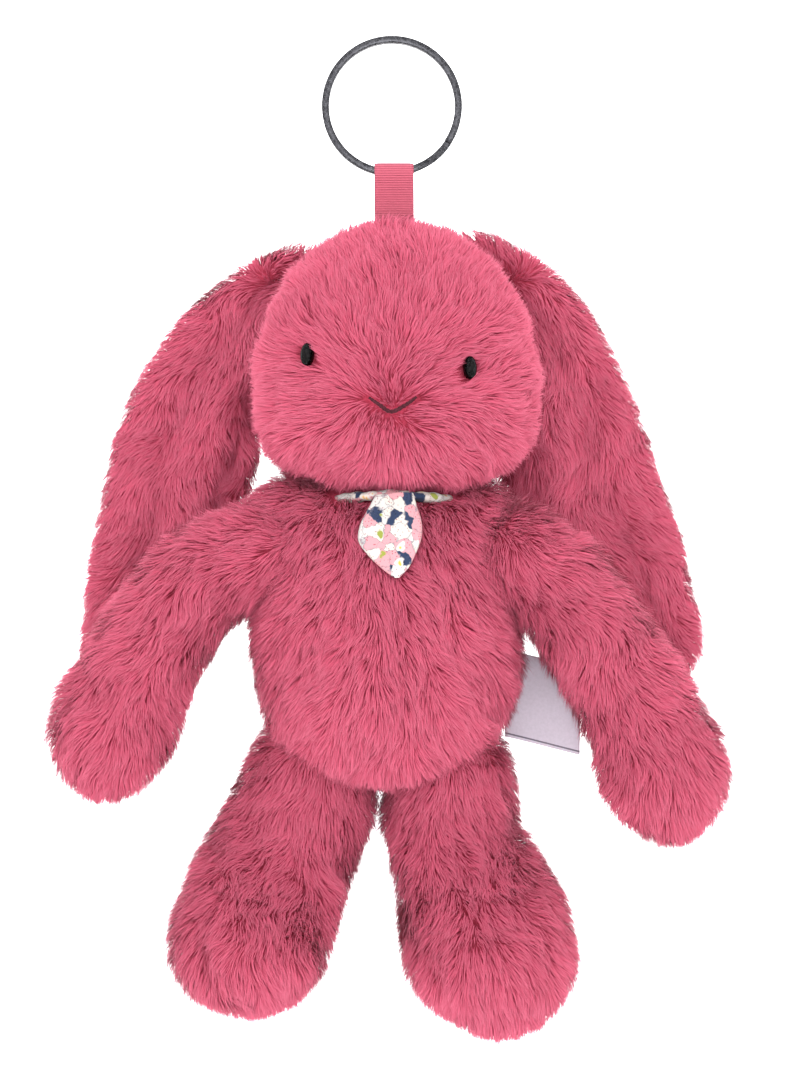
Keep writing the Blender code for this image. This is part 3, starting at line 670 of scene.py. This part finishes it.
def inside_egg(shape, grow=0.0):
    """A test for points inside an egg that is grown or shrunk by a distance."""
    def test(points):
        z = np.clip(points[:, 2], shape["bottom"] - grow, shape["top"] + grow)
        share = egg_half(z, shape, grow) + 1e-9
        x = (points[:, 0] - shape["x"]) / (share * (shape["half_x"] + grow))
        depth = egg_half(z, shape, grow, deep=True) + 1e-9
        y = points[:, 1] / (depth * (shape["half_y"] + grow))
        within = (points[:, 2] < shape["top"] + grow) & (points[:, 2] > shape["bottom"] - grow)
        return (x * x + y * y < 1) & within
    return test


def near_path(stations, grow):
    """A test for points inside a limb's round sections, grown or shrunk by a distance."""
    line = curve(stations, np.linspace(0, len(stations) - 1, 60)) * MM

    def test(points):
        gap = np.linalg.norm(points[:, None, :] - line[None, :, :3], axis=2)
        return (gap < line[None, :, 3] + grow).any(axis=1)
    return test


def arm_stations(side):
    return [(x, ARM_Y, z, half, ARM_HALF_DEPTH if half else 0) for x, z, half in ARM_PATHS[side]]


def path_flow(stations, spread=0.0):
    """Pile combed along a limb from its root to its end, spreading sideways from its middle line."""
    line = curve(stations, np.linspace(0, len(stations) - 1, 60))[:, :3] * MM
    ways = unit(np.gradient(line, axis=0))

    def flow(points, normals):
        gaps = (points[:, None, :] - line[None, :, :]) * [1, 0.15, 1]
        nearest = np.linalg.norm(gaps, axis=2).argmin(axis=1)
        return ways[nearest] + spread * (points - line[nearest]) * [1, 0, 1] / (12 * MM)
    return flow


# Parts

def box_shape(node, widest, upper, lower, top=None, bottom=None):
    low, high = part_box(node)
    return {"x": (low.x + high.x) / 2, "half_x": (high.x - low.x) / 2, "half_y": (high.y - low.y) / 2,
            "top": high.z if top is None else top, "bottom": low.z if bottom is None else bottom,
            "widest": widest, "upper": upper, "lower": lower}


def make_skin(name, body, grid, material, *nodes):
    made = grid_object(name + "_skin", grid, material)
    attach(made, body)
    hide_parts(*nodes)
    return made


def dent(grid, normals, centre, radius, depth):
    """Presses a grid in around a point, or out where depth is negative."""
    gap = np.linalg.norm((grid - np.array(centre)) / np.array(radius), axis=2)
    return grid - normals * (depth * np.exp(-gap ** 2))[..., None]


def pressed(grid, creases):
    """Every dent of a list, each along the normals of the grid as it was before the first."""
    normals = grid_normals(grid)
    for place, size, depth in creases:
        grid = dent(grid, normals, np.array(place) * MM, np.array(size) * MM, depth * MM)
    return grid


def eye_centre(side):
    """The middle of an eye's front: the box also holds the shank, which leans inwards and upwards."""
    low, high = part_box("eye_" + side)
    if side == "left":
        return np.array([high.x - 1.4 * MM, low.y, low.z + 1.5 * MM])
    return np.array([low.x + 1.0 * MM, low.y, low.z + 1.6 * MM])


def mouth_path():
    low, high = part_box("mouth_stitch")
    middle = (low.x + high.x) / 2
    return [(low.x + 0.5 * MM, high.z - 1.9 * MM), (low.x + 2.7 * MM, low.z + 0.9 * MM),
            (middle - 0.3 * MM, low.z - 0.7 * MM), (high.x - 2.8 * MM, low.z + 0.8 * MM),
            (high.x - 0.4 * MM, high.z - 1.8 * MM)]


def make_head(shape, fur, backing):
    grid = inset(egg_grid(shape), HEAD_SKIN_DEPTH)
    eyes = [eye_centre(side) for side in ("left", "right")]
    muzzle = np.array([0.0, -shape["half_y"], -71.5 * MM])
    normals = grid_normals(grid)
    for eye in eyes:
        grid = dent(grid, normals, eye, 5 * MM, 1.0 * MM)
    grid = dent(grid, normals, muzzle + [0, 6 * MM, -4 * MM], [16 * MM, 14 * MM, 9 * MM], -0.9 * MM)
    make_skin("head", "head", grid, backing, "head_shell", "head_stuffing")

    def flow(points, normals):
        away = unit(points - muzzle)
        back = smooth(-6 * MM, 14 * MM, points[:, 1])[:, None]
        top = smooth(-50 * MM, -30 * MM, points[:, 2])[:, None] * (1 - back)
        gap = np.linalg.norm((points - muzzle) * [1, 0.4, 1], axis=1)[:, None]
        calm = smooth(0, 16 * MM, gap)
        combed = unit(away * (1 - back) + np.array([0, 0.9, -1.0]) * back + UP * 0.4 * top)
        return combed * (0.3 + 0.7 * calm)

    line = curve(np.array(mouth_path()), np.linspace(0, 4, 40))

    def keep(points):
        near = np.linalg.norm(points[:, None, ::2] - line[None], axis=2).min(axis=1) < 0.55 * MM
        clear = ~(near & (points[:, 1] < -shape["half_y"] * 0.8))
        for eye in eyes:
            flat = (points - eye + [0.45 * MM * np.sign(eye[0]), 0, 0.4 * MM]) * [1 / 1.25, 0.16, 1 / 2.2]
            clear &= np.linalg.norm(flat, axis=1) > 1 * MM
        clear &= ~((np.abs(points[:, 0] - 0.8 * MM) < 4.6 * MM) & (np.abs(points[:, 1]) < 0.9 * MM)
                   & (points[:, 2] > -40 * MM))
        return clear

    def scale(points):
        factor = np.ones(len(points))
        for eye in eyes:
            gap = np.linalg.norm(points - eye, axis=1)
            factor *= 1 - 0.6 * np.exp(-(gap / (3.8 * MM)) ** 2)
        gap = np.linalg.norm((points - muzzle) * [0.8, 0.8, 1.6], axis=1)
        return factor * (1 - 0.35 * np.exp(-(gap / (6 * MM)) ** 2))

    grow_fur("head", "head", grid, flow, fur, length=BODY_PILE, lean=0.86, keep=keep, scale=scale, seed=10)


def make_torso(shape, fur, backing):
    grid = inset(egg_grid(shape), TORSO_SKIN_DEPTH)
    normals = grid_normals(grid)
    grid = pressed(grid, TORSO_CREASES)
    seam = np.exp(-((grid[..., 0] - shape["x"] - 2 * MM) / (1.3 * MM)) ** 2)
    seam *= smooth(0, 10 * MM, -grid[..., 1]) * smooth(-112 * MM, -122 * MM, grid[..., 2])
    grid = grid - normals * (seam * 0.7 * MM)[..., None]
    make_skin("torso", "torso", grid, backing, "torso_shell", "torso_stuffing")
    limbs = [near_path(arm_stations(side), -5 * MM) for side in ARM_PATHS]

    def flow(points, normals):
        outward = (points * [1, 0, 0] - [shape["x"], 0, 0]) / shape["half_x"]
        return outward * 1.1 + np.array([0, 0, -1.0])

    def keep(points):
        collar = (np.hypot(points[:, 0], points[:, 1]) < 16 * MM) & (points[:, 2] > -91.6 * MM)
        return ~(limbs[0](points) | limbs[1](points) | collar)

    grow_fur("torso", "torso", grid, flow, fur, length=BODY_PILE, lean=0.84, keep=keep, seed=20)


def make_limb(name, stations, fur, backing, torso, seed, spread, creases=()):
    grid = inset(limb_grid(stations), LIMB_SKIN_DEPTH)
    grid = pressed(grid, creases)
    make_skin(name, name, grid, backing, name + "_shell", name + "_stuffing")
    hidden = inside_egg(torso, -4 * MM)
    grow_fur(name, name, grid, path_flow(stations, spread), fur, length=LIMB_PILE, lean=0.8,
             keep=lambda points: ~hidden(points), seed=seed)


def make_ear(side, fur, backing, head, seed):
    grid = ear_grid(side)
    name = "ear_" + side
    grid = pressed(grid, EAR_CREASES[side])
    make_skin(name, name, grid, backing, name + "_front_panel", name + "_back_panel")
    hidden = inside_egg(head, -4.5 * MM)
    stations = [((outer + inner) / 2, EAR_MIDDLE_Y, z) for z, outer, inner in EAR_EDGES[side]]
    combed = path_flow(stations, 0.4)
    root = np.array(stations[2]) * MM

    def flow(points, normals):
        near_root = smooth(-46 * MM, -32 * MM, points[:, 2])[:, None]
        return combed(points, normals) * (1 - near_root) + unit(points - root) * near_root

    grow_fur(name, name, grid, flow, fur, length=EAR_PILE, lean=1.0,
             keep=lambda points: ~hidden(points), seed=seed)


def make_tail(fur, backing):
    low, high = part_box("tail")
    centre = np.array((low + high) / 2)
    radius = (high.x - low.x) / 2
    shape = {"x": 0, "half_x": radius, "half_y": radius, "top": radius, "bottom": -radius, "widest": 0,
             "upper": 2, "lower": 2}
    grid = inset(egg_grid(shape, 28, 36), TAIL_SKIN_DEPTH) + centre
    make_skin("tail", "torso", grid, backing, "tail")
    grow_fur("tail", "torso", grid, lambda points, normals: unit(points - centre) * [1, 0, 0.4] - UP, fur,
             length=LIMB_PILE, lean=0.85, seed=60)


def make_eye(side, gloss):
    """An oval dome with a flat back, a little wider than the opening in the pile."""
    middle = eye_centre(side)
    outward = unit(np.array([middle[0] * 0.5, -22 * MM, 3 * MM]))
    right = unit(np.cross(outward, UP))
    up = np.cross(right, outward)
    apex = middle + outward * 1.0 * MM
    rings = []
    for lean in np.radians([3, 14, 27, 40, 53, 66, 78, 90]):
        around = np.linspace(0, math.tau, 40, endpoint=False)[:, None]
        ring = right * np.cos(around) * 1.5 * MM + up * np.sin(around) * 2.6 * MM
        rings.append(apex - outward * 1.2 * MM * (1 - math.cos(lean)) + ring * math.sin(lean))
    rings.append(rings[-1] - outward * 0.9 * MM)
    rings.append(rings[-1] * 0.2 + rings[-1].mean(axis=0) * 0.8 - outward * 0.05 * MM)
    made = grid_object("eye_" + side + "_dome", np.array(rings), gloss)
    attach(made, "head")
    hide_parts("eye_" + side)


def tube_grid(path, radii, columns=12):
    """Round sections of given radii along a path in space."""
    way = unit(np.gradient(path, axis=0))
    side = unit(np.cross(way, [0.0, 1.0, 0.0]))
    other = np.cross(way, side)
    around = np.linspace(0, math.tau, columns, endpoint=False)[None, :, None]
    radii = np.asarray(radii).reshape(-1, 1, 1)
    return path[:, None] + (side[:, None] * np.cos(around) + other[:, None] * np.sin(around)) * radii


def make_mouth(shape, thread):
    """One thread in a shallow V, laid on the pile: a twisted strand that is thickest at the middle."""
    spots = np.array(mouth_path())
    flat = curve(spots, np.linspace(0, len(spots) - 1, 90))
    share = egg_half(flat[:, 1], shape)
    y = -share * shape["half_y"] * np.sqrt(1 - ((flat[:, 0] - shape["x"]) / (share * shape["half_x"])) ** 2)
    path = np.stack([flat[:, 0], y - 1.7 * MM, flat[:, 1]], axis=1)
    along = np.linspace(0, 1, len(path))
    radii = (0.24 + 0.22 * np.sin(along * math.pi) ** 0.6) * MM
    radii *= 1 + 0.12 * np.sin(along * 90)
    made = grid_object("mouth_thread", tube_grid(path, radii), thread)
    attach(made, "head")
    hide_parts("mouth_stitch")


def make_ring(steel):
    """One flat wire wound twice, changing over at the lower right, where its cut ends show."""
    low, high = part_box("split_ring")
    outer, inner = high.x, high.x - 1.7 * MM
    half_thick = 0.55 * MM
    offset = 0.625 * MM
    bevel = 0.32 * MM
    step_at, step_arc, end_gap = np.radians([-52, 34, 2])
    first = step_at + step_arc / 2 + end_gap
    last = step_at + 2 * math.tau - step_arc / 2 - end_gap
    angle = np.linspace(first, last, 320)
    share = smooth(0, step_arc, angle - (step_at + math.tau - step_arc / 2))
    corners = []
    for centre_r, centre_y, start in ((outer - bevel, half_thick - bevel, 0),
                                      (inner + bevel, half_thick - bevel, 90),
                                      (inner + bevel, bevel - half_thick, 180),
                                      (outer - bevel, bevel - half_thick, 270)):
        for turn in np.radians(start + np.array([0, 30, 60, 90])):
            corners.append((centre_r + bevel * math.cos(turn), centre_y + bevel * math.sin(turn)))
    corners = np.array(corners)
    grid = np.empty((len(angle), len(corners), 3))
    grid[..., 0] = np.cos(angle)[:, None] * corners[:, 0]
    grid[..., 2] = np.sin(angle)[:, None] * corners[:, 0]
    grid[..., 1] = (offset * (2 * share - 1))[:, None] + corners[:, 1]
    made = grid_object("ring_wire", grid, steel)
    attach(made, "ring")
    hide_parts("split_ring")


RIB_PITCH = 0.54 * MM
RIBBON_LINE = [(-0.55, -31), (-0.62, -26), (-0.75, -21.5), (-1.35, -18.0), (-1.80, -15.6), (-1.3, -13.95),
               (0.0, -13.35), (1.3, -13.95), (1.80, -15.6), (1.15, -18.0), (0.45, -21.5), (0.35, -26), (0.3, -31)]


def make_ribbon(cloth):
    """One strip of grosgrain from the crown, round the ring's wire and back, with ribs across it."""
    low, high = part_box("ribbon_loop")
    line = curve(np.array(RIBBON_LINE) * MM, np.linspace(0, len(RIBBON_LINE) - 1, 361))
    steps = np.concatenate([[0], np.cumsum(np.linalg.norm(np.diff(line, axis=0), axis=1))])
    even = np.arange(0, steps[-1], 0.135 * MM)
    line = np.stack([np.interp(even, steps, line[:, k]) for k in range(2)], axis=1)
    way = unit(np.gradient(line, axis=0))
    outward = np.stack([-way[:, 1], way[:, 0]], axis=1)
    if (outward[len(line) // 2] @ [0, 1]) < 0:
        outward = -outward
    rib = 0.08 * MM * np.cos(even / RIB_PITCH * math.tau)
    across = np.concatenate([np.linspace(-1, 1, 13), np.linspace(1, -1, 13)])
    side = np.repeat([1.0, -1.0], 13)
    edge = 1 - np.abs(across) ** 12 * 0.55
    centre, half_wide = (low.x + high.x) / 2 - 0.3 * MM, (high.x - low.x) / 2
    thick = side[None, :] * (0.20 * MM + rib[:, None]) * edge
    wave = 0.10 * MM * np.sin(even / (5 * MM))
    grid = np.empty((len(line), len(across), 3))
    grid[..., 0] = centre + across * half_wide * (1 + 0.004 * np.cos(even / RIB_PITCH * math.tau))[:, None]
    grid[..., 0] += wave[:, None] * 0.6
    grid[..., 1] = line[:, :1] + outward[:, :1] * thick
    grid[..., 2] = line[:, 1:] + outward[:, 1:] * thick
    made = grid_object("ribbon", grid, cloth)
    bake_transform(made)
    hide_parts("ribbon_loop", "ribbon_tab")


def make_band(cotton):
    """The scarf round the neck: a soft roll of cotton with folds along it."""
    low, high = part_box("scarf_band")
    outer = (high.x - low.x) / 2
    turn = np.linspace(0, math.tau, 180, endpoint=False)
    around = np.linspace(0, math.tau, 20, endpoint=False)
    crumple = 1 + 0.12 * np.sin(9 * turn)[:, None] * np.cos(2 * around)
    crumple = crumple + 0.10 * np.sin(23 * turn + 1)[:, None]
    radius = outer - 2.5 * MM + 1.8 * MM * np.cos(around) * crumple
    height = 1.15 * MM * np.sin(around) * crumple + (0.4 * MM * np.sin(3 * turn))[:, None]
    grid = np.empty((len(turn), len(around), 3))
    grid[..., 0] = np.cos(turn)[:, None] * radius
    grid[..., 1] = np.sin(turn)[:, None] * radius
    grid[..., 2] = (low.z + high.z) / 2 + 0.2 * MM + height
    made = grid_object("scarf_roll", grid, cotton, closed_rows=True)
    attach(made, "scarf")
    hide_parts("scarf_band")


TIE_LEAF = [(0.6, 0.6, 4.2), (-2.2, 0.2, 5.4), (-6.0, -0.2, 6.9), (-9.5, -0.4, 7.1), (-12.6, 0.0, 5.6),
            (-16.0, 0.8, 3.1), (-18.3, 1.2, 0.5)]


def make_tie(cotton):
    """The scarf's end: a leaf of folded cotton, domed, with one soft fold down it and a turned edge."""
    low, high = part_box("scarf_tie")
    top_y = high.y - 0.4 * MM
    slant = 0.33
    leaf = curve(np.array(TIE_LEAF), np.linspace(0, len(TIE_LEAF) - 1, 90)) * MM
    drop, shift, half = leaf.T
    across = np.concatenate([np.linspace(-1, 1, 33), np.linspace(1, -1, 33)[1:-1]])
    side = np.concatenate([np.ones(33), -np.ones(31)])
    lie = np.abs(across)
    dome = -2.0 * MM * (1 - lie ** 2)
    fold = 0.55 * MM * np.exp(-((across + 0.25) / 0.16) ** 2)
    fold = fold - 0.35 * MM * np.exp(-((across - 0.3) / 0.2) ** 2)
    hem = 0.22 * MM * np.exp(-((lie - 0.9) / 0.06) ** 2)
    grid = np.empty((len(leaf), len(across), 3))
    grid[..., 0] = shift[:, None] + half[:, None] * across
    body = (dome + fold)[None, :] * (half / half.max())[:, None]
    grid[..., 1] = top_y + slant * drop[:, None] + body - side * (0.32 * MM * (1 - 0.9 * lie ** 6) + hem)
    sway = 0.5 * MM * np.sin(across * 2.2 + 0.4) * (half / half.max())[:, None]
    grid[..., 2] = high.z - 0.2 * MM + drop[:, None] + sway
    made = grid_object("scarf_end", grid, cotton)
    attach(made, "scarf_end")
    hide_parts("scarf_tie")


def make_label(satin):
    """A satin tag sewn into the side seam, turned a little downwards and waving gently."""
    low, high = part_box("label")
    wide, tall = 18.0 * MM, 20.5 * MM
    tilt = math.radians(-14)
    across, down = np.meshgrid(np.linspace(0, 1, 37), np.linspace(0, 1, 41))
    bow = 0.9 * MM * np.sin(across * math.pi * 1.3 + down * 1.2) * across
    x, z = across * wide, -down * tall
    start = np.array([low.x - 0.6 * MM, (low.y + high.y) / 2, high.z - 0.3 * MM])
    front = np.stack([start[0] + x * math.cos(tilt), start[1] + bow, start[2] + z + x * math.sin(tilt)], axis=2)
    offset = np.array([0, 0.11 * MM, 0])
    rows, columns = front.shape[:2]
    points = np.concatenate([(front - offset).reshape(-1, 3), (front + offset).reshape(-1, 3)])
    faces = []
    size = rows * columns
    for r in range(rows - 1):
        for c in range(columns - 1):
            a = r * columns + c
            faces.append((a, a + 1, a + columns + 1, a + columns))
            faces.append((size + a, size + a + columns, size + a + columns + 1, size + a + 1))
    rim = [c for c in range(columns)] + [r * columns + columns - 1 for r in range(1, rows)]
    rim += [size - 1 - c for c in range(1, columns)] + [r * columns for r in range(rows - 2, 0, -1)]
    for a, b in zip(rim, rim[1:] + rim[:1]):
        faces.append((b, a, size + a, size + b))
    made = new_object("label_tag", points, faces, satin)
    face_out(made)
    layer = made.data.uv_layers.new(name="UVMap")
    place = np.stack([np.tile(across.ravel(), 2), np.tile(1 - down.ravel(), 2)], axis=1)
    corners = np.empty(len(made.data.loops), np.int32)
    made.data.loops.foreach_get("vertex_index", corners)
    layer.data.foreach_set("uv", place[corners].astype(np.float32).ravel())
    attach(made, "label")
    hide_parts("label")


# Studio

def make_camera():
    data = bpy.data.cameras.new("camera")
    data.lens = LENS_MM
    data.sensor_width = SENSOR_MM
    made = bpy.data.objects.new("camera", data)
    made.location = LOOK_AT + Vector((0, -LENS_MM / SENSOR_MM * SEEN_HEIGHT, 0))
    made.rotation_euler = (math.pi / 2, 0, 0)
    bpy.context.scene.collection.objects.link(made)
    bpy.context.scene.camera = made


def make_light(name, place, size, power):
    data = bpy.data.lights.new(name, "AREA")
    data.size = size
    data.energy = power
    made = bpy.data.objects.new(name, data)
    made.location = place
    made.rotation_euler = (LOOK_AT - Vector(place)).to_track_quat("-Z", "Y").to_euler()
    bpy.context.scene.collection.objects.link(made)


STAGE_R = 3.0
STAGE_LOW = -0.9


def make_stage():
    """A round pale studio: a floor that curves up into a wall all round, and lights itself evenly."""
    made, nodes, links, shader = new_material("studio_paper")
    grain = grain_node(nodes, links, 2)
    tones = ramp_node(nodes, [(0.0, (0.93, 0.93, 0.935)), (1.0, (0.95, 0.95, 0.95))])
    links.new(grain.outputs["Fac"], tones.inputs["Fac"])
    links.new(tones.outputs["Color"], shader.inputs["Base Color"])
    links.new(tones.outputs["Color"], shader.inputs["Emission Color"])
    set_values(shader, Roughness=1.0, Specular_IOR_Level=0.0, Emission_Strength=0.62)
    outline = [(0.02, 0), (STAGE_R * 0.6, 0)]
    for k in range(1, 9):
        angle = math.radians(90 * k / 8)
        outline.append((STAGE_R * (0.6 + 0.4 * math.sin(angle)), STAGE_R * 0.4 * (1 - math.cos(angle))))
    outline += [(STAGE_R, 2.4), (STAGE_R * 0.7, 3.4), (0.02, 3.6)]
    around = np.linspace(0, math.tau, 48, endpoint=False)
    rings = [[(r * math.cos(a), r * math.sin(a), STAGE_LOW + h) for a in around] for r, h in outline]
    grid_object("studio", np.array(rings), made)


make_camera()
bpy.context.scene.view_settings.view_transform = "Standard"
make_stage()
make_light("key", (-0.75, -1.2, 0.75), 0.7, 2.8)
make_light("glint", (0.02, -1.4, 0.02), 0.12, 3.0)
make_light("fill", (1.1, -0.9, 0.1), 0.9, 1.6)
make_light("top", (0.1, 0.5, 1.2), 0.8, 2.6)

fur = fur_material()
backing = cloth_material("fur_backing", (0.27, 0.020, 0.042), (0.36, 0.036, 0.070), 0.6 * MM)
cotton = printed_cotton()
head_shape = box_shape("head_shell", HEAD_WIDEST_Z, 2.0, 2.9, bottom=HEAD_BOTTOM_Z)
torso_shape = box_shape("torso_shell", TORSO_WIDEST_Z, 4.0, 2.3, top=TORSO_TOP_Z, bottom=TORSO_BOTTOM_Z)
torso_shape["upper_deep"] = 2.1
make_ring(steel_material())
make_ribbon(grosgrain())
make_head(head_shape, fur, backing)
for side in ("left", "right"):
    make_eye(side, eye_material())
thread = cloth_material("burgundy_thread", (0.018, 0.002, 0.005), (0.055, 0.006, 0.012), 0.15 * MM)
make_mouth(head_shape, thread)
make_torso(torso_shape, fur, backing)
for number, side in enumerate(("left", "right")):
    make_limb("arm_" + side, arm_stations(side), fur, backing, torso_shape, 30 + number, 0.3)
    make_limb("leg_" + side, LEG_PATHS[side], fur, backing, torso_shape, 40 + number, 0.35, FOOT_CREASES[side])
    make_ear(side, fur, backing, head_shape, 50 + number)
make_tail(fur, backing)
plastic = cloth_material("washer_plastic", (0.45, 0.44, 0.42), (0.60, 0.59, 0.57), 0.4 * MM, 0.45, 0.05)
for side in ("left", "right"):
    washer = bpy.data.objects["eye_washer_" + side].data
    washer.materials.clear()
    washer.materials.append(plastic)
make_band(cotton)
make_tie(cotton)
satin = banded_material("label_satin", (0.10, 0.08, 0.11), (0.47, 0.42, 0.49), (0.03, 0.05), 0.35, 0.2,
                        0.2 * MM)
make_label(satin)
